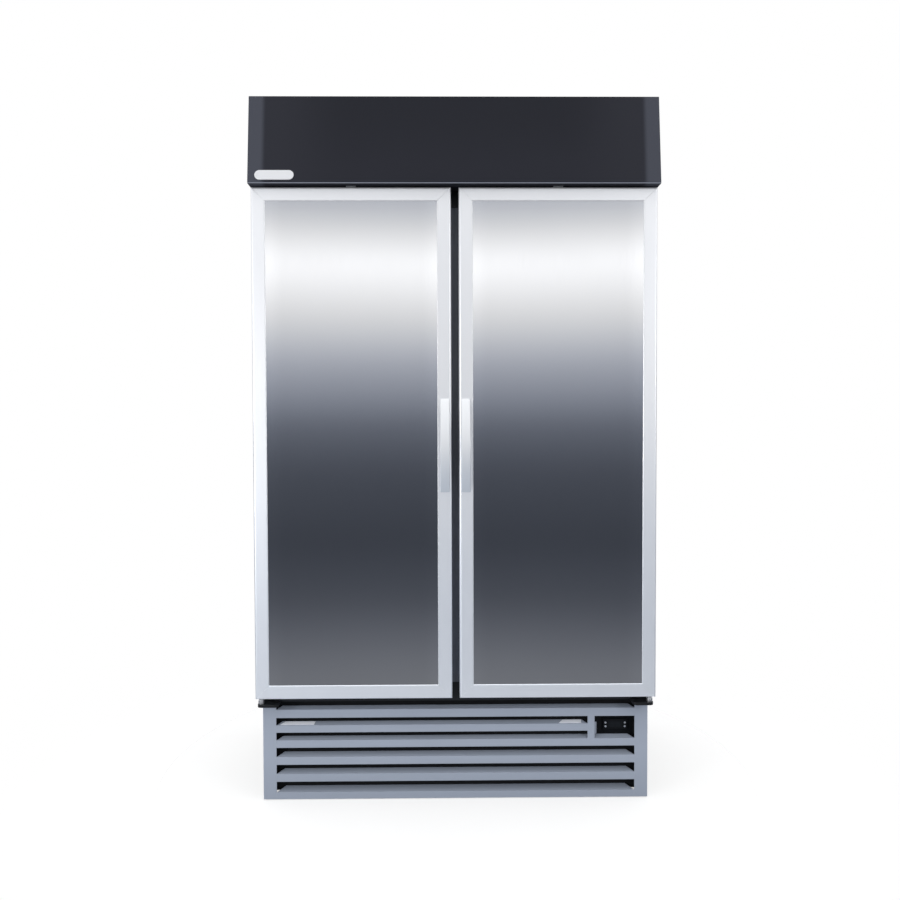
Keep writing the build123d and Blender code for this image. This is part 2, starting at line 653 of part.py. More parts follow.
def fan_blade(name, x, y, z, radius, hub_r, blades):
    """Pressed axial fan: hub and pitched blades on a front-to-back axis."""
    thick, pitch = 1.5, 28.0
    span = radius - hub_r + 2
    chord = radius * 0.62
    with BuildPart() as fan:
        drum(x, (y - 9, y + 9), z, hub_r)
        for k in range(blades):
            spoke = Location((x, y, z), (0, k * 360 / blades, 0))
            with Locations(spoke * Location((hub_r - 2 + span / 2, 0, 0), (pitch, 0, 0))):
                Box(span, thick, chord)
        nose = fan.faces().filter_by(Axis.Y).sort_by(Axis.Y)[0].edges()
        fillet(nose, 2.0)
        drum(x, (y + 8, y + MOTOR_GAP - 0.5), z, 4.0)
    save(fan.part, name)


CONDENSER_X, CONDENSER_Y, CONDENSER_Z = (-60.0, 340.0), (FACE_Y + 42.0, FACE_Y + 88.0), (30.0, 250.0)
CONDENSER_FAN = (140.0, 140.0)
CONDENSER_FAN_R = 98.0
SHROUD_Y = (CONDENSER_Y[1] + 1, CONDENSER_Y[1] + 3)
CONDENSER_FAN_Y = SHROUD_Y[1] + 34.0
EVAP_BLADE_Y = EVAP_Y[0] + 24.0


def condenser_shroud():
    """Sheet behind the condenser with a flanged round mouth for the fan."""
    x, z = CONDENSER_FAN
    mouth = CONDENSER_FAN_R + 5
    with BuildPart() as shroud:
        slab(CONDENSER_X, SHROUD_Y, CONDENSER_Z)
        drum(x, (SHROUD_Y[0], SHROUD_Y[1] + 14), z, mouth + 2)
        drum(x, (SHROUD_Y[0] - 1, SHROUD_Y[1] + 15), z, mouth, Mode.SUBTRACT)
        slab(CONDENSER_X, SHROUD_Y, (PAN_Z[1], CONDENSER_Z[0]))
    save(shroud.part, "condenser_shroud")


def fan_motors():
    """Shaded-pole fan motors on wire-like brackets: one for the condenser, two for the evaporator."""
    with BuildPart() as motors:
        x, z = CONDENSER_FAN
        y = CONDENSER_FAN_Y + MOTOR_GAP
        drum(x, (y, y + 52), z, 38.0)
        slab((x - 30, x + 30), (y + 18, y + 24), (PAN_Z[1] + SEAM, z))
        for fan_x in EVAP_FANS:
            start = EVAP_BLADE_Y + MOTOR_GAP
            drum(fan_x, (start, start + 40), EVAP_FAN_Z, 30.0)
            slab((fan_x - 12, fan_x + 12), (start + 14, start + 18), (EVAP_FAN_Z, EVAP_Z[1] - 1.5 - SEAM))
    save(motors.part, "fan_motors")


COMPRESSOR = (-330.0, 60.0)


def compressor():
    """Hermetic compressor: welded two-part steel can on a mounting plate with rubber grommets."""
    x, y = COMPRESSOR
    r, low, high = 92.0, 36.0, 236.0
    with BuildPart() as can:
        post(x, y, (low, high), r)
        crown = can.edges().filter_by(GeomType.CIRCLE).sort_by(Axis.Z)
        fillet(crown[-1], 55.0)
        fillet(crown[0], 18.0)
        post(x, y, (118.0, 124.0), r + 4)
        slab((x - 100, x + 100), (y - 75, y + 75), (30, 36.5))
        for dx in (-82, 82):
            for dy in (-58, 58):
                post(x + dx, y + dy, (PAN_Z[1] + SEAM, 44.0), 11.0)
    save(can.part, "compressor")


def condensate_tray():
    """Open tray over the pan, where the defrost water evaporates."""
    x, y, z = (150.0, 520.0), (110.0, 300.0), (60.0, 115.0)
    with BuildPart() as tray:
        slab(x, y, z)
        fillet(tray.edges().filter_by(Axis.Z), 10.0)
        wall = 2.5
        slab((x[0] + wall, x[1] - wall), (y[0] + wall, y[1] - wall), (z[0] + wall, z[1] + 1), Mode.SUBTRACT)
        for px in (x[0] + 30, x[1] - 30):
            for py in (y[0] + 30, y[1] - 30):
                post(px, py, (PAN_Z[1] + SEAM, z[0] + 1), 6.0)
    save(tray.part, "condensate_tray")


def refrigerant_lines():
    """Copper discharge line to the condenser and suction line up to the cabinet floor."""
    cx, cy = COMPRESSOR
    tube_r = 4.0
    discharge = [
        (cx + 91.2, cy - 20, 150),
        (cx + 150, cy - 20, 150),
        (cx + 150, cy - 160, 150),
        (cx + 150, CONDENSER_Y[1] - 23, 232),
        (CONDENSER_X[0] - 8.2, CONDENSER_Y[1] - 23, 232),
    ]
    suction = [
        (cx, cy + 92.2, 170),
        (cx, cy + 160, 170),
        (cx, cy + 160, 230),
        (cx + 110, cy + 160, 230),
        (cx + 110, cy + 160, BODY_BOTTOM - SEAM),
    ]
    with BuildPart() as lines:
        for route in (discharge, suction):
            with BuildLine() as path:
                FilletPolyline(*route, radius=22.0)
            with BuildSketch(Plane(origin=path.line @ 0, z_dir=path.line % 0)):
                Circle(tube_r)
            sweep(path=path.line)
    save(lines.part, "refrigerant_lines")


# ---------------------------------------------------------------- back and fixings
REAR_Y = (BACK_Y - 5.5, BACK_Y - 4.0)
GLAND = (-470.0, 120.0)


def rear_grille():
    """Louvred steel cover over the back of the plinth, with a hole for the cable gland."""
    with BuildPart() as cover:
        slab((-BASE_X, BASE_X), REAR_Y, (BASE_BOTTOM, BODY_BOTTOM - SEAM))
        with BuildSketch(Plane.XZ.offset(-REAR_Y[1] - 1)):
            with Locations((40, 150)):
                with GridLocations(62, 22, 14, 8):
                    SlotOverall(50, 7)
        extrude(amount=4, mode=Mode.SUBTRACT)
        drum(GLAND[0], (REAR_Y[0] - 1, REAR_Y[1] + 1), GLAND[1], 8.05, Mode.SUBTRACT)
    save(cover.part, "rear_grille")


def cable_gland():
    """Moulded gland where the supply lead enters."""
    x, z = GLAND
    with BuildPart() as gland:
        drum(x, (REAR_Y[0] - 14, REAR_Y[1] + 2), z, 8.0)
        drum(x, (REAR_Y[0] - 6, REAR_Y[0] - SEAM), z, 13.0)
        drum(x, (REAR_Y[1] + SEAM, REAR_Y[1] + 3.5), z, 13.0)
        drum(x, (REAR_Y[0] - 15, REAR_Y[1] + 5), z, 4.5, Mode.SUBTRACT)
    save(gland.part, "cable_gland")


def cover_screws():
    """Pan-head screws that hold the back panel and the rear grille."""
    with BuildPart() as screws:
        for x in (-560.0, 560.0):
            for z in (30.0, 145.0, 260.0):
                drum(x, (REAR_Y[1] + 0.05, REAR_Y[1] + 2.4), z, 5.0)
        heads = screws.faces().filter_by(Axis.Y).group_by(Axis.Y)[-1].edges()
        fillet(heads, 1.2)
    save(screws.part, "cover_screws")


# ---------------------------------------------------------------- build
outer_wrap()
back_panel()
insulation()
inner_liner()
face_frame()
centre_mullion()
canopy()
canopy_badge()
door_catches()
base_frame()
for foot_name, foot_sx, foot_sy in FEET:
    foot(foot_name, foot_sx, foot_sy)
grille_slats()
grille_divider()
controller_panel()
controller_bezel()
controller_display()
for key_number, key_place in enumerate(KEYS, start=1):
    controller_key(key_number, *key_place)
for door_side in (-1, 1):
    grille_post(door_side)
    door_frame(door_side)
    door_fill(door_side)
    door_gasket(door_side)
    door_handle(door_side)
    door_bushes(door_side)
    shelves(door_side)
bottom_hinges()
top_hinges()
shelf_uprights()
shelf_clips()
interior_light()
evaporator_cover()
finned_coil("evaporator_coil", (-440.0, 440.0), (EVAP_Y[0] + 110, EVAP_Y[0] + 230), (EVAP_Z[0] + 20, EVAP_Z[1] - 20), 40, 5)
for fan_side, fan_x in zip(("left", "right"), EVAP_FANS):
    fan_blade(f"evaporator_fan_{fan_side}", fan_x, EVAP_BLADE_Y, EVAP_FAN_Z, EVAP_FAN_R, 22.0, 5)
finned_coil("condenser_coil", CONDENSER_X, CONDENSER_Y, CONDENSER_Z, 30, 6)
condenser_shroud()
fan_blade("condenser_fan", CONDENSER_FAN[0], CONDENSER_FAN_Y, CONDENSER_FAN[1], CONDENSER_FAN_R, 26.0, 5)
fan_motors()
compressor()
condensate_tray()
refrigerant_lines()
rear_grille()
cable_gland()
cover_screws()
print(len(written), "pieces written")
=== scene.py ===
"""Visual model of a two-door bottle cooler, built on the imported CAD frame."""

import math

import bmesh
import bpy
from mathutils import Matrix, Vector


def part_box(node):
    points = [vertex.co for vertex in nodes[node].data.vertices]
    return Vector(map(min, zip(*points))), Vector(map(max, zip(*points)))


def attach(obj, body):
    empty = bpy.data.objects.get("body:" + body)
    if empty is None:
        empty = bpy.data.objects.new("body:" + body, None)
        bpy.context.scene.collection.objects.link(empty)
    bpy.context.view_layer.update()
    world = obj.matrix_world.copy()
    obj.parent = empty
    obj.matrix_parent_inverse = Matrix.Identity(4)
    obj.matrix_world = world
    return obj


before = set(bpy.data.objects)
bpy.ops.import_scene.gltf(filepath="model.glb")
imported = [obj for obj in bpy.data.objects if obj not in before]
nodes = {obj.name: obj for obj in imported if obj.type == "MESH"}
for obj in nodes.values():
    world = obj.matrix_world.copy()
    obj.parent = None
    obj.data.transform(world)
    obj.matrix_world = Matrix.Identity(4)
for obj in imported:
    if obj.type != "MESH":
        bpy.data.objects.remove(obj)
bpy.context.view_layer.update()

# ------------------------------------------------------------------ camera
CAMERA_AT = (-0.0418, -2.6918, 1.1215)
YAW, TILT, ROLL = 0.631, 1.65, 0.167
LENS = 32.65

cam_data = bpy.data.cameras.new("camera")
cam_data.lens = LENS
cam_data.sensor_width = 36.0
cam_data.clip_start = 0.05
camera = bpy.data.objects.new("camera", cam_data)
bpy.context.scene.collection.objects.link(camera)
turn = Matrix.Rotation(math.radians(-YAW), 4, "Z") @ Matrix.Rotation(math.radians(90 - TILT), 4, "X")
camera.matrix_world = Matrix.Translation(CAMERA_AT) @ turn @ Matrix.Rotation(math.radians(-ROLL), 4, "Z")
bpy.context.scene.camera = camera
bpy.context.scene.view_settings.view_transform = "Standard"


# ------------------------------------------------------------------ node helpers
UPRIGHT = (1, 1, 0.02)  # grain drawn out along Z
EVEN = (1, 1, 1)


class Graph:
    """A material's node tree, with short calls for the nodes that the finishes share."""

    def __init__(self, name):
        self.material = bpy.data.materials.new(name)
        self.material.use_nodes = True
        self.tree = self.material.node_tree
        self.shader = next(n for n in self.tree.nodes if n.type == "BSDF_PRINCIPLED")
        self.place = self.add("ShaderNodeTexCoord").outputs["Object"]

    def add(self, kind, **settings):
        node = self.tree.nodes.new(kind)
        for key, value in settings.items():
            setattr(node, key, value)
        return node

    def link(self, out, into):
        self.tree.links.new(out, into)

    def scaled(self, scale):
        node = self.add("ShaderNodeMapping")
        self.link(self.place, node.inputs["Vector"])
        node.inputs["Scale"].default_value = scale
        return node.outputs["Vector"]

    def noise(self, scale, detail=3.0, rough=0.55, stretch=(1, 1, 1)):
        node = self.add("ShaderNodeTexNoise")
        node.inputs["Scale"].default_value = scale
        node.inputs["Detail"].default_value = detail
        node.inputs["Roughness"].default_value = rough
        self.link(self.scaled(stretch), node.inputs["Vector"])
        return node.outputs["Fac"]

    def spread(self, value, low, high, from_low=0.3, from_high=0.7):
        node = self.add("ShaderNodeMapRange")
        self.link(value, node.inputs["Value"])
        for key, number in (("From Min", from_low), ("From Max", from_high),
                            ("To Min", low), ("To Max", high)):
            node.inputs[key].default_value = number
        return node.outputs["Result"]

    def smooth(self, value, start, end):
        """0 at start, 1 at end, eased at both."""
        node = self.add("ShaderNodeMapRange", interpolation_type="SMOOTHSTEP")
        self.link(value, node.inputs["Value"])
        node.inputs["From Min"].default_value = min(start, end)
        node.inputs["From Max"].default_value = max(start, end)
        if end < start:
            node.inputs["To Min"].default_value, node.inputs["To Max"].default_value = 1.0, 0.0
        return node.outputs["Result"]

    def mix(self, factor, a, b):
        node = self.add("ShaderNodeMix", data_type="RGBA")
        if isinstance(factor, (int, float)):
            node.inputs[0].default_value = factor
        else:
            self.link(factor, node.inputs[0])
        for socket, value in ((node.inputs[6], a), (node.inputs[7], b)):
            if isinstance(value, (tuple, list)):
                socket.default_value = (*value[:3], 1)
            else:
                self.link(value, socket)
        return node.outputs[2]

    def math(self, operation, a, b=None):
        node = self.add("ShaderNodeMath", operation=operation)
        for socket, value in ((node.inputs[0], a), (node.inputs[1], b)):
            if value is None:
                continue
            if isinstance(value, (int, float)):
                socket.default_value = value
            else:
                self.link(value, socket)
        return node.outputs[0]

    def axis(self, index):
        node = self.add("ShaderNodeSeparateXYZ")
        self.link(self.place, node.inputs[0])
        return node.outputs[index]

    def edges(self, radius=0.0012):
        """The bevelled normal, and a mask that is 1 on sharp edges."""
        bevel = self.add("ShaderNodeBevel", samples=6)
        bevel.inputs["Radius"].default_value = radius
        flat = self.add("ShaderNodeNewGeometry")
        dot = self.add("ShaderNodeVectorMath", operation="DOT_PRODUCT")
        self.link(bevel.outputs[0], dot.inputs[0])
        self.link(flat.outputs["Normal"], dot.inputs[1])
        return bevel.outputs[0], self.spread(dot.outputs["Value"], 1.0, 0.0, 0.75, 0.995)

    def bump(self, height, strength, distance, normal=None):
        node = self.add("ShaderNodeBump")
        node.inputs["Strength"].default_value = strength
        node.inputs["Distance"].default_value = distance
        self.link(height, node.inputs["Height"])
        if normal is not None:
            self.link(normal, node.inputs["Normal"])
        return node.outputs[0]


def finish(name, color, *, metallic=0.0, rough=(0.4, 0.5), grain=(60, EVEN), bump=(0.1, 0.0003), vary=0.06,
           wear=None, bevel=0.0012, coat=0.0, cloud_scale=3.0, specular=0.5, emit=None, dirt=0.0, shade_fade=None,
           reflection_bands=(), lip_highlight=None):
    """A procedural finish: broad colour variation, fine grain in roughness and bump, worn or light edges.

    dirt darkens the foot of a piece. fade is (start z, end z, shade) and paints shade: the colour turns to
    that shade between the two heights. Each band in bands is (start, end, shade), measured outwards from the
    middle, and paints a lighter reflection there. underline paints a highlight: it is the lighter shade of
    faces that slope down to the front.
    """
    g = Graph(name)
    s = g.shader
    cloud = g.noise(cloud_scale, 4.0)
    fine = g.noise(grain[0], 3.0, 0.6, grain[1])
    light = tuple(min(1.0, c * (1 + vary)) for c in color)
    dark = tuple(c * (1 - vary) for c in color)
    tone = g.mix(g.spread(cloud, 0, 1), dark, light)
    tone = g.mix(g.spread(fine, 0, vary * 2, 0.35, 0.65), tone, dark)
    if dirt:
        low = g.spread(g.axis(2), dirt, 0.0, 0.0, 0.25)  # over the lowest 0.25 m
        tone = g.mix(g.math("MULTIPLY", low, g.spread(cloud, 0.4, 1.0)), tone, tuple(c * 0.55 for c in color))
    # painted shade: the colour turns to fade's shade between its two heights
    if shade_fade:
        tone = g.mix(g.smooth(g.axis(2), shade_fade[0], shade_fade[1]), tone, shade_fade[2])
    # painted reflection: lighter bands by distance from the middle
    for start, end, shade in reflection_bands:
        tone = g.mix(g.smooth(g.math("ABSOLUTE", g.axis(0)), start, end), tone, shade)
    # painted highlight on the faces that slope down to the front
    if lip_highlight:
        tilt = g.add("ShaderNodeNewGeometry").outputs["Normal"]
        down = g.add("ShaderNodeSeparateXYZ")
        g.link(tilt, down.inputs[0])
        band = g.math("MULTIPLY", g.smooth(down.outputs[2], -0.25, -0.45),
                      g.smooth(down.outputs[2], -0.97, -0.85))
        tone = g.mix(band, tone, lip_highlight)
    normal = None
    if bevel:
        normal, edge = g.edges(bevel)
        if wear:
            scuff = g.math("MULTIPLY", edge, g.spread(g.noise(35, 3.0), 0.15, 0.9, 0.35, 0.65))
            tone = g.mix(scuff, tone, wear)
    g.link(tone, s.inputs["Base Color"])
    g.link(g.spread(fine, rough[0], rough[1]), s.inputs["Roughness"])
    s.inputs["Metallic"].default_value = metallic
    s.inputs["Specular IOR Level"].default_value = specular
    s.inputs["IOR"].default_value = 1.45
    if coat:
        s.inputs["Coat Weight"].default_value = coat
        s.inputs["Coat Roughness"].default_value = 0.12
    if emit:
        s.inputs["Emission Color"].default_value = (*emit[0], 1)
        s.inputs["Emission Strength"].default_value = emit[1]
    if bump:
        g.link(g.bump(fine, bump[0], bump[1], normal), s.inputs["Normal"])
    elif normal is not None:
        g.link(normal, s.inputs["Normal"])
    return g.material


# ------------------------------------------------------------------ finishes
M = {
    # painted shade: the door frames turn darker and bluer towards the bottom
    "aluminium": finish("satin_aluminium", (0.845, 0.855, 0.875), metallic=0.72, rough=(0.40, 0.47),
                        grain=(900, UPRIGHT), bump=(0.05, 0.0001), vary=0.012, wear=(0.95, 0.96, 0.97),
                        bevel=0.0008, shade_fade=(1.35, 0.45, (0.86, 0.905, 0.975))),
    # painted shade: the handles' lower parts are darker and bluer
    "handle": finish("satin_handle", (0.74, 0.755, 0.775), metallic=0.35, rough=(0.50, 0.58),
                     grain=(900, UPRIGHT), bump=(0.05, 0.0001), vary=0.012, wear=(0.84, 0.85, 0.87),
                     bevel=0.0006, shade_fade=(1.10, 0.93, (0.62, 0.67, 0.74))),
    # painted sheen: the panels are lighter near their outer and inner edges
    "stainless": finish("brushed_stainless", (0.66, 0.665, 0.68), metallic=1.0, rough=(0.075, 0.105),
                        grain=(700, UPRIGHT), bump=(0.03, 0.00005), vary=0.012, bevel=0,
                        reflection_bands=((0.49, 0.548, (0.71, 0.715, 0.73)), (0.10, 0.05, (0.70, 0.705, 0.72)))),
    # painted shade darker at the top, painted reflections at the ends, painted highlight on the lower lip
    "canopy": finish("charcoal_coat", (0.021, 0.022, 0.029), rough=(0.55, 0.65), grain=(500, EVEN),
                     bump=(0.08, 0.0001), vary=0.05, wear=(0.05, 0.053, 0.06), bevel=0.0008, specular=0.06,
                     shade_fade=(1.84, 2.05, (0.018, 0.019, 0.025)),
                     reflection_bands=((0.30, 0.53, (0.0255, 0.0265, 0.034)), (0.539, 0.556, (0.060, 0.064, 0.080))),
                     lip_highlight=(0.26, 0.28, 0.33)),
    "badge": finish("badge_white", (0.66, 0.67, 0.69), rough=(0.18, 0.26), grain=(200, EVEN),
                    bump=(0.03, 0.0001), vary=0.01, coat=0.4),
    # painted shade: the grille is darker towards the bottom
    "grille": finish("grille_paint", (0.315, 0.355, 0.43), rough=(0.38, 0.5), grain=(600, EVEN),
                     bump=(0.1, 0.0001), vary=0.03, wear=(0.40, 0.43, 0.49), bevel=0.0010,
                     shade_fade=(0.17, 0.0, (0.265, 0.30, 0.365))),
    "dark_frame": finish("dark_frame", (0.012, 0.014, 0.018), rough=(0.4, 0.55), grain=(400, EVEN),
                         bump=(0.08, 0.0001), vary=0.06, bevel=0.001, specular=0.3),
    "slate": finish("slate_mullion", (0.10, 0.11, 0.135), rough=(0.4, 0.55), grain=(400, EVEN),
                    bump=(0.08, 0.0001), vary=0.05, bevel=0.001),
    # black sheet that paints the shade seen through the grille's gaps
    "shade_black": finish("painted_shade_sheet", (0.008, 0.009, 0.011), rough=(0.7, 0.85), grain=(420, EVEN),
                     bump=(0.6, 0.0012), vary=0.3, bevel=0, specular=0.15),
    "gasket": finish("gasket_rubber", (0.07, 0.073, 0.08), rough=(0.6, 0.75), grain=(500, EVEN),
                     bump=(0.2, 0.0002), vary=0.08),
    "white_skin": finish("white_skin", (0.62, 0.63, 0.65), rough=(0.3, 0.4), grain=(300, EVEN),
                         bump=(0.06, 0.0001), vary=0.02, wear=(0.45, 0.46, 0.48), dirt=0.2),
    "liner": finish("white_liner", (0.78, 0.79, 0.80), rough=(0.28, 0.4), grain=(240, EVEN),
                    bump=(0.08, 0.0001), vary=0.02),
    "galvanised": finish("galvanised", (0.50, 0.52, 0.54), metallic=0.9, rough=(0.35, 0.55), grain=(45, EVEN),
                         bump=(0.1, 0.0002), vary=0.14, cloud_scale=28, wear=(0.72, 0.73, 0.74)),
    "foam": finish("rigid_foam", (0.75, 0.64, 0.38), rough=(0.8, 0.95), grain=(400, EVEN), bump=(0.6, 0.0008),
                   vary=0.12),
    "zinc": finish("zinc_plate", (0.72, 0.73, 0.75), metallic=1.0, rough=(0.25, 0.4), grain=(300, EVEN),
                   bump=(0.1, 0.0001), vary=0.06, wear=(0.9, 0.9, 0.9), bevel=0.0006),
    "black_steel": finish("black_steel", (0.009, 0.010, 0.012), rough=(0.35, 0.55), grain=(300, EVEN),
                          bump=(0.15, 0.0002), vary=0.15, wear=(0.05, 0.05, 0.055), specular=0.25),
    "black_plastic": finish("black_plastic", (0.005, 0.006, 0.008), rough=(0.55, 0.7), grain=(700, EVEN),
                            bump=(0.3, 0.0002), vary=0.1, wear=(0.012, 0.013, 0.016), bevel=0.0006,
                            specular=0.12),
    "display": finish("smoked_window", (0.006, 0.008, 0.011), rough=(0.12, 0.2), grain=(80, EVEN),
                      bump=(0.02, 0.0001), vary=0.1, bevel=0.0004, specular=0.2),
    "key": finish("key_cap", (0.34, 0.37, 0.42), rough=(0.25, 0.35), grain=(800, EVEN), bump=(0.05, 0.0001),
                  vary=0.04, bevel=0.0003),
    "wire": finish("coated_wire", (0.74, 0.75, 0.77), rough=(0.25, 0.38), grain=(500, EVEN),
                   bump=(0.1, 0.0002), vary=0.03, coat=0.3, bevel=0),
    "diffuser": finish("opal_diffuser", (0.85, 0.87, 0.9), rough=(0.3, 0.4), grain=(200, EVEN),
                       bump=(0.03, 0.0001), vary=0.01, emit=((0.9, 0.95, 1.0), 1.6)),
    "fins": finish("coil_fins", (0.62, 0.64, 0.66), metallic=1.0, rough=(0.3, 0.5), grain=(500, (1, 1, 0.05)),
                   bump=(0.1, 0.0001), vary=0.08, bevel=0),
    "enamel": finish("black_enamel", (0.014, 0.014, 0.017), rough=(0.2, 0.32), grain=(150, EVEN),
                     bump=(0.08, 0.0002), vary=0.1, coat=0.3, wear=(0.08, 0.08, 0.09)),
    "copper": finish("drawn_copper", (0.78, 0.36, 0.22), metallic=1.0, rough=(0.25, 0.45), grain=(120, EVEN),
                     bump=(0.1, 0.0002), vary=0.14, bevel=0),
    "paper": finish("blank_label", (0.86, 0.89, 0.96), rough=(0.45, 0.6), grain=(300, EVEN),
                    bump=(0.1, 0.0001), vary=0.03, bevel=0),
}

WEARS = {
    "outer_wrap": "white_skin", "back_panel": "galvanised", "base_frame": "black_steel",
    "rear_grille": "galvanised", "condenser_shroud": "black_steel", "insulation": "foam",
    "left_door_core": "foam", "right_door_core": "foam", "inner_liner": "liner",
    "evaporator_cover": "liner", "left_door_inner_panel": "liner", "right_door_inner_panel": "liner",
    "face_frame": "dark_frame", "centre_mullion": "slate", "canopy": "canopy", "canopy_badge": "badge",
    "left_door_frame": "aluminium", "right_door_frame": "aluminium", "left_door_handle": "handle",
    "right_door_handle": "handle", "left_door_panel": "stainless", "right_door_panel": "stainless",
    "grille_post_left": "grille", "grille_post_right": "grille", "grille_slats": "grille",
    "grille_divider": "grille", "left_door_gasket": "gasket", "right_door_gasket": "gasket",
    "left_door_bushes": "zinc", "right_door_bushes": "zinc", "door_catches": "zinc",
    "shelf_uprights": "zinc", "shelf_clips": "zinc", "cover_screws": "zinc", "top_hinge_brackets": "zinc",
    "bottom_hinge_brackets": "black_steel", "controller_panel": "black_plastic",
    "controller_bezel": "black_plastic", "cable_gland": "black_plastic", "condensate_tray": "black_plastic",
    "controller_display": "display", "shelves_left": "wire", "shelves_right": "wire",
    "interior_light": "diffuser", "evaporator_coil": "fins", "condenser_coil": "black_steel",
    "condenser_fan": "fins", "compressor": "enamel", "fan_motors": "enamel", "refrigerant_lines": "copper",
}
for node_name, node in nodes.items():
    key = WEARS.get(node_name)
    if key is None:
        key = "key" if node_name.startswith("controller_key") else "black_plastic"
    if not node.material_slots:
        node.data.materials.append(M[key])
    for slot in node.material_slots:
        slot.material = M[key]


# ------------------------------------------------------------------ mesh helpers
def new_piece(name, mesh, body, material, smooth=30.0):
    piece = bpy.data.objects.new(name, mesh)
    bpy.context.scene.collection.objects.link(piece)
    mesh.materials.append(M[material])
    if smooth:
        mesh.shade_smooth()
        mesh.set_sharp_from_angle(angle=math.radians(smooth))
    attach(piece, body)
    return piece


def rounded_box(bm, low, high, radius, segments=2):
    """Adds a box with rounded edges between two corners."""
    made = bmesh.ops.create_cube(bm, size=1.0)["verts"]
    size = [b - a for a, b in zip(low, high)]
    middle = Vector([(a + b) / 2 for a, b in zip(low, high)])
    for v in made:
        v.co = Vector([c * s for c, s in zip(v.co, size)]) + middle
    edges = {e for v in made for e in v.link_edges}
    bmesh.ops.bevel(bm, geom=list(edges), offset=radius, segments=segments, affect="EDGES", profile=0.6)


def lathe(bm, profile, at, direction, steps=32):
    """Adds a turned shape. profile is a list of (radius, distance along direction)."""
    spin = Vector(direction).to_track_quat("Z", "Y").to_matrix()
    rings = []
    for radius, along in profile:
        ring = []
        for k in range(steps):
            a = 2 * math.pi * k / steps
            point = Vector((radius * math.cos(a), radius * math.sin(a), along))
            ring.append(bm.verts.new(spin @ point + Vector(at)))
        rings.append(ring)
    for a, b in zip(rings, rings[1:]):
        for k in range(steps):
            bm.faces.new((a[k], a[(k + 1) % steps], b[(k + 1) % steps], b[k]))
    bm.faces.new(list(reversed(rings[0])))
    bm.faces.new(rings[-1])


def from_bmesh(name, build, body, material, smooth=30.0):
    bm = bmesh.new()
    build(bm)
    bmesh.ops.recalc_face_normals(bm, faces=bm.faces)
    mesh = bpy.data.meshes.new(name)
    bm.to_mesh(mesh)
    bm.free()
    return new_piece(name, mesh, body, material, smooth)


# ------------------------------------------------------------------ small pieces
FACE_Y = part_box("grille_slats")[0].y  # front of the grille
SLAT_TOP = 0.2265  # upper fold of the slat that carries the labels
FLANGE_TILT = 12.0  # degrees


def prism(bm, outline, direction, amount):
    """Adds a solid made by pushing a flat outline along a direction."""
    shift = Vector(direction) * amount
    near = [bm.verts.new(Vector(p)) for p in outline]
    far = [bm.verts.new(Vector(p) + shift) for p in outline]
    bm.faces.new(near)
    bm.faces.new(list(reversed(far)))
    for k in range(len(near)):
        n = (k + 1) % len(near)
        bm.faces.new((near[k], far[k], far[n], near[n]))


def label_strip(name, x0, x1):
    """A blank strip stuck on the flange of the second slat from the top, cut on the slant at its ends."""

    def build(bm):
        rise = math.tan(math.radians(FLANGE_TILT))
        near, far = 0.0022, 0.0205
        fold, clearance, thickness = 0.0012, 0.0004, 0.0005
        left_slant, right_slant = 0.014, 0.003
        z0, z1 = (SLAT_TOP + clearance + (y - fold) * rise for y in (near, far))
        y0, y1 = FACE_Y + near, FACE_Y + far
        outline = [(x0, y0, z0), (x1, y0, z0), (x1 + right_slant, y1, z1), (x0 + left_slant, y1, z1)]
        prism(bm, outline, (0, 0, 1), thickness)
        bmesh.ops.bevel(bm, geom=list(bm.edges), offset=0.00018, segments=1, affect="EDGES")

    return from_bmesh(name, build, "cabinet", "paper")


label_strip("label_strip_left", -0.528, -0.426)
label_strip("label_strip_right", 0.310, 0.378)


def glazing_bead(side):
    """The chamfered bead round a door's panel: four strips that slope from the frame down to it."""
    panel_lo, panel_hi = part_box(f"{side}_door_panel")
    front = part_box(f"{side}_door_frame")[0].y
    wide, deep = 0.0021, panel_lo.y - front

    def build(bm):
        gap, lift = 0.00005, 0.0001
        x0, x1, z0, z1 = panel_lo.x + gap, panel_hi.x - gap, panel_lo.z + gap, panel_hi.z - gap
        corners = [(x0, z0, 1, 1), (x1, z0, -1, 1), (x1, z1, -1, -1), (x0, z1, 1, -1)]
        rings = [
            [bm.verts.new((x, front + lift, z)) for x, z, _, _ in corners],
            [bm.verts.new((x + a * wide * 0.3, front + lift, z + c * wide * 0.3)) for x, z, a, c in corners],
            [bm.verts.new((x + a * wide, front + deep * 0.75, z + c * wide)) for x, z, a, c in corners],
            [bm.verts.new((x + a * wide, front + deep - lift, z + c * wide)) for x, z, a, c in corners],
            [bm.verts.new((x, front + deep - lift, z)) for x, z, _, _ in corners],
        ]
        for near, far in zip(rings, rings[1:] + rings[:1]):
            for k in range(4):
                n = (k + 1) % 4
                bm.faces.new((near[k], near[n], far[n], far[k]))

    return from_bmesh(f"{side}_door_bead", build, f"{side}_door", "aluminium")


glazing_bead("left")
glazing_bead("right")


def shade_sheet():
    """A black mesh sheet behind the slats, notched for the controller, that paints the shade in the gaps."""
    y0, y1 = FACE_Y + 0.0385, FACE_Y + 0.0405
    half, low, high = 0.5725, 0.0168, 0.2980
    body_x, body_z = (0.4495, 0.5235), (0.1960, 0.2280)

    def build(bm):
        for x0, x1, z0, z1 in (
            (-half, body_x[0], low, high),
            (body_x[1], half, low, high),
            (body_x[0], body_x[1], low, body_z[0]),
            (body_x[0], body_x[1], body_z[1], high),
        ):
            rounded_box(bm, (x0, y0, z0), (x1, y1, z1), 0.0003, 1)

    return from_bmesh("shade_sheet", build, "cabinet", "shade_black")


shade_sheet()


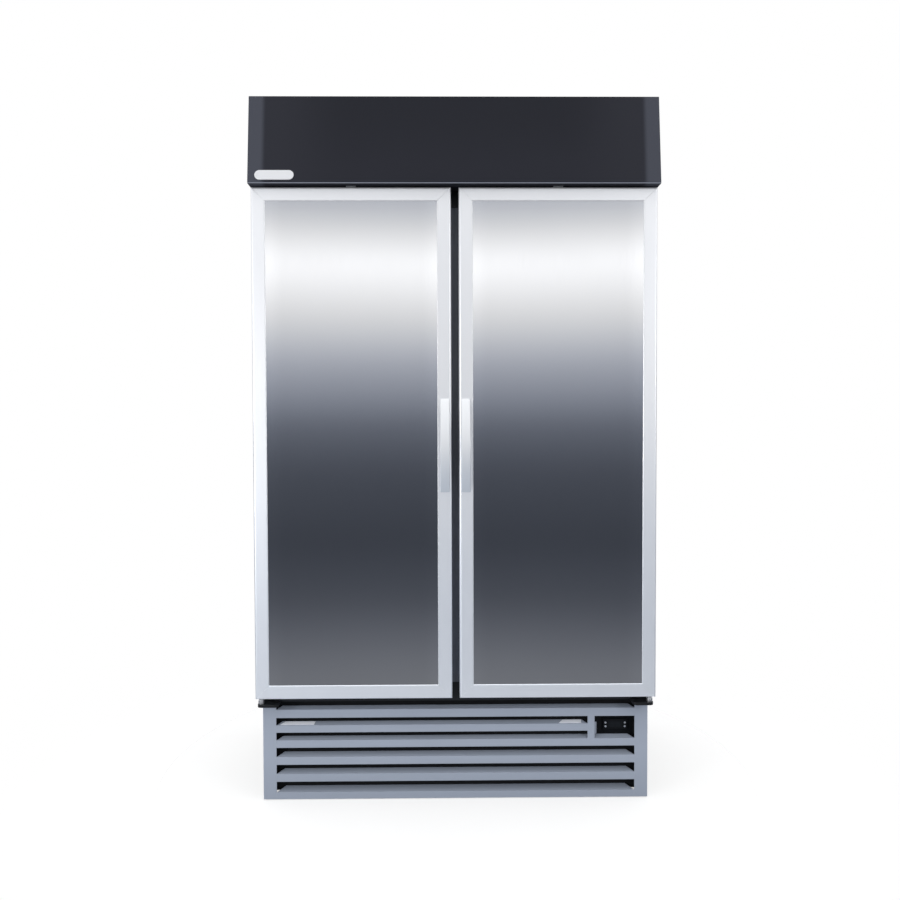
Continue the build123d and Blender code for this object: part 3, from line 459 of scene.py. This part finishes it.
def window_bracket():
    """A small folded tab at the left of the controller's window."""
    x, y = 0.4186, FACE_Y + 0.014
    low, high = 0.1900, 0.2260
    width, depth = 0.0076, 0.0210

    def build(bm):
        rounded_box(bm, (x, y, low), (x + width, y + 0.0015, high), 0.0005)
        rounded_box(bm, (x, y, low), (x + 0.0012, y + depth, high), 0.0005)

    return from_bmesh("window_bracket", build, "cabinet", "grille")


window_bracket()


def screw_heads(name, places, direction, body, material="zinc", radius=0.0042):
    """Pan head screws with a cross recess suggested by a turned dimple."""

    def build(bm):
        profile = [(radius, 0), (radius, 0.0008), (radius * 0.82, 0.0019), (radius * 0.42, 0.0024),
                   (radius * 0.36, 0.0016), (radius * 0.1, 0.0012)]
        for at in places:
            lathe(bm, profile, at, direction, 20)

    return from_bmesh(name, build, body, material, 40)


def spaced(start, end, count):
    """Evenly spaced values, with both ends."""
    return [start + (end - start) * k / (count - 1) for k in range(count)]


def fixings():
    """Screws and rivets on the canopy, the back, the hinges and the doors' inner panels."""
    canopy_lo, canopy_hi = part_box("canopy")
    from_back, from_end = 0.022, 0.035
    for side, x in (("left", canopy_lo.x), ("right", canopy_hi.x)):
        places = [(x, canopy_hi.y - from_back, z) for z in (canopy_lo.z + from_end, canopy_hi.z - from_end)]
        screw_heads(f"canopy_screws_{side}", places, (math.copysign(1, x), 0, 0), "cabinet")
    back_lo, back_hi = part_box("back_panel")
    inset, corner = 0.014, 0.25
    edge = [(x, back_hi.y, z) for x in spaced(back_lo.x + inset, back_hi.x - inset, 7)
            for z in (back_lo.z + inset, back_hi.z - inset)]
    edge += [(x, back_hi.y, z) for x in (back_lo.x + inset, back_hi.x - inset)
             for z in spaced(back_lo.z + corner, back_hi.z - corner, 6)]
    screw_heads("back_rivets", edge, (0, 1, 0), "cabinet", radius=0.0036)
    vent_lo, vent_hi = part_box("rear_grille")
    inset = 0.010
    corners = [(x, vent_hi.y, z) for x in (vent_lo.x + inset, vent_hi.x - inset)
               for z in (vent_lo.z + inset, vent_hi.z - inset)]
    screw_heads("rear_grille_screws", corners, (0, 1, 0), "cabinet", radius=0.0036)
    plate = [(side * x, FACE_Y - 0.005, 0.3145) for side in (-1, 1) for x in (0.534, 0.555)]
    screw_heads("bottom_hinge_screws", plate, (0, -1, 0), "cabinet", radius=0.0036)
    for side in ("left", "right"):
        lo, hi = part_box(f"{side}_door_inner_panel")
        inset = 0.016
        rim = [(x, hi.y, z) for x in (lo.x + inset, hi.x - inset)
               for z in spaced(lo.z + inset, hi.z - inset, 4)]
        screw_heads(f"{side}_door_liner_screws", rim, (0, 1, 0), f"{side}_door", "liner", 0.0038)


fixings()


def wire_ring(bm, centre, radius, wire, steps=56, round_steps=8):
    """Adds a ring of round wire that lies in the plane facing the front."""
    rings = []
    for k in range(steps):
        a = 2 * math.pi * k / steps
        out = Vector((math.cos(a), 0, math.sin(a)))
        ring = []
        for j in range(round_steps):
            b = 2 * math.pi * j / round_steps
            offset = out * (radius + wire * math.cos(b)) + Vector((0, wire * math.sin(b), 0))
            ring.append(bm.verts.new(Vector(centre) + offset))
        rings.append(ring)
    for k in range(steps):
        near, far = rings[k], rings[(k + 1) % steps]
        for j in range(round_steps):
            n = (j + 1) % round_steps
            bm.faces.new((near[j], near[n], far[n], far[j]))


def fan_guard(name, fan):
    """Concentric wires and four spokes over an evaporator fan's mouth."""
    fan_lo, fan_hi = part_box(fan)
    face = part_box("evaporator_cover")[0].y
    x, z = (fan_lo.x + fan_hi.x) / 2, (fan_lo.z + fan_hi.z) / 2

    def build(bm):
        for radius in (0.020, 0.036, 0.052, 0.068, 0.084):
            wire_ring(bm, (x, face - 0.0042, z), radius, 0.0011)
        for k in range(4):
            a = math.radians(45 + 90 * k)
            out = (math.cos(a), 0, math.sin(a))
            start = Vector((x, face - 0.0022, z)) + Vector(out) * 0.018
            lathe(bm, [(0.0012, 0), (0.0012, 0.080)], start, out, 10)

    return from_bmesh(name, build, "cabinet", "wire", 60)


fan_guard("fan_guard_left", "evaporator_fan_left")
fan_guard("fan_guard_right", "evaporator_fan_right")


def back_of_machine():
    """A blank data plate on the back, and the compressor's terminal box."""

    def plate(bm):
        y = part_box("back_panel")[1].y
        rounded_box(bm, (-0.49, y + 0.0001, 1.52), (-0.39, y + 0.0008, 1.58), 0.0003, 1)

    def terminals(bm):
        lo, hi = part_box("compressor")
        y, z = (lo.y + hi.y) / 2, (lo.z + hi.z) / 2 + 0.02
        x = (lo.x + hi.x) / 2 - 0.0925
        rounded_box(bm, (x - 0.034, y - 0.030, z - 0.040), (x + 0.006, y + 0.030, z + 0.034), 0.004, 3)
        rounded_box(bm, (x - 0.038, y - 0.024, z - 0.032), (x - 0.033, y + 0.024, z + 0.026), 0.0015)

    from_bmesh("data_plate", plate, "cabinet", "paper")
    from_bmesh("terminal_box", terminals, "cabinet", "black_plastic")


back_of_machine()


# ------------------------------------------------------------------ floor, light, surroundings
def stage_floor():
    """A pale floor under the object, that fades out into the white backdrop."""
    bm = bmesh.new()
    bmesh.ops.create_circle(bm, cap_ends=True, segments=96, radius=1.5)
    mesh = bpy.data.meshes.new("floor")
    bm.to_mesh(mesh)
    bm.free()
    floor = bpy.data.objects.new("floor", mesh)
    floor.location = (0, 0, -0.0005)
    bpy.context.scene.collection.objects.link(floor)
    g = Graph("floor_pale")
    tone = g.mix(g.spread(g.noise(1.5, 2.0), 0, 1), (0.93, 0.93, 0.935), (0.95, 0.95, 0.955))
    g.link(tone, g.shader.inputs["Base Color"])
    g.shader.inputs["Roughness"].default_value = 0.9
    g.shader.inputs["Specular IOR Level"].default_value = 0.1
    away = g.add("ShaderNodeVectorMath", operation="LENGTH")
    g.link(g.place, away.inputs[0])
    g.link(g.math("MULTIPLY", g.smooth(away.outputs["Value"], 1.45, 0.7), 0.35), g.shader.inputs["Alpha"])
    mesh.materials.append(g.material)


stage_floor()

# radiance of the surroundings by elevation in degrees, seen from the object;
# it shapes the doors' reflections
SKY = [(-90, 0.40), (-28, 0.34), (-16.5, 0.235), (-12, 0.105), (-8, 0.068), (-3, 0.10), (0, 0.180), (4.3, 0.55),
       (8.5, 1.14), (11.2, 1.60), (13.9, 0.90), (16.5, 0.50), (24, 1.20), (55, 1.15), (90, 0.9)]


def surroundings():
    """A plain studio sky: white where it is seen directly, graded by height as the light on the object."""
    world = bpy.data.worlds.new("studio")
    bpy.context.scene.world = world
    world.use_nodes = True
    tree = world.node_tree
    tree.nodes.clear()
    new = tree.nodes.new
    link = tree.links.new
    coord, sep = new("ShaderNodeTexCoord"), new("ShaderNodeSeparateXYZ")
    link(coord.outputs["Generated"], sep.inputs[0])
    asin = new("ShaderNodeMath")
    asin.operation = "ARCSINE"
    link(sep.outputs[2], asin.inputs[0])
    unit = new("ShaderNodeMapRange")
    unit.inputs["From Min"].default_value = -math.pi / 2
    unit.inputs["From Max"].default_value = math.pi / 2
    link(asin.outputs[0], unit.inputs["Value"])
    curve = new("ShaderNodeFloatCurve")
    peak = 2.0
    points = curve.mapping.curves[0].points
    while len(points) > 2:
        points.remove(points[0])
    spots = [((e + 90) / 180, v / peak) for e, v in SKY]
    points[0].location = spots[0]
    points[-1].location = spots[-1]
    for spot in spots[1:-1]:
        points.new(*spot)
    for point in points:
        point.handle_type = "VECTOR"
    curve.mapping.update()
    link(unit.outputs["Result"], curve.inputs["Value"])
    strength = new("ShaderNodeMath")
    strength.operation = "MULTIPLY"
    strength.inputs[1].default_value = peak
    link(curve.outputs[0], strength.inputs[0])
    lit, seen = new("ShaderNodeBackground"), new("ShaderNodeBackground")
    tint = new("ShaderNodeMix")
    tint.data_type = "RGBA"
    # dim light is cool; bright light, and light from below, is white
    tint.inputs[6].default_value = (0.82, 0.93, 1.2, 1)
    tint.inputs[7].default_value = (1, 1, 1, 1)
    low, warm = new("ShaderNodeMapRange"), new("ShaderNodeMath")
    for key, value in (("From Min", 0.40), ("From Max", 0.45), ("To Min", 0.4), ("To Max", 0.0)):
        low.inputs[key].default_value = value
    link(unit.outputs["Result"], low.inputs["Value"])
    warm.operation = "ADD"
    link(low.outputs["Result"], warm.inputs[0])
    link(strength.outputs[0], warm.inputs[1])
    link(warm.outputs[0], tint.inputs[0])
    link(tint.outputs[2], lit.inputs["Color"])
    link(strength.outputs[0], lit.inputs["Strength"])
    seen.inputs["Color"].default_value = (1, 1, 1, 1)
    path, mix, out = new("ShaderNodeLightPath"), new("ShaderNodeMixShader"), new("ShaderNodeOutputWorld")
    link(path.outputs["Is Camera Ray"], mix.inputs[0])
    link(lit.outputs[0], mix.inputs[1])
    link(seen.outputs[0], mix.inputs[2])
    link(mix.outputs[0], out.inputs["Surface"])


surroundings()


def area_light(name, at, towards, size, power):
    """A soft rectangular lamp that the camera doesn't see."""
    data = bpy.data.lights.new(name, "AREA")
    data.shape = "RECTANGLE"
    data.size, data.size_y = size
    data.energy = power
    lamp = bpy.data.objects.new(name, data)
    lamp.location = at
    lamp.rotation_euler = (Vector(towards) - Vector(at)).to_track_quat("-Z", "Y").to_euler()
    lamp.visible_camera = False
    bpy.context.scene.collection.objects.link(lamp)


area_light("overhead", (0, -0.9, 4.2), (0, -0.1, 0.6), (3.0, 2.0), 30)
area_light("key_left", (-2.4, -2.8, 1.05), (0, -0.3, 1.1), (0.5, 1.1), 39)
area_light("key_right", (2.4, -2.8, 1.7), (0, -0.3, 1.1), (0.5, 0.9), 17)
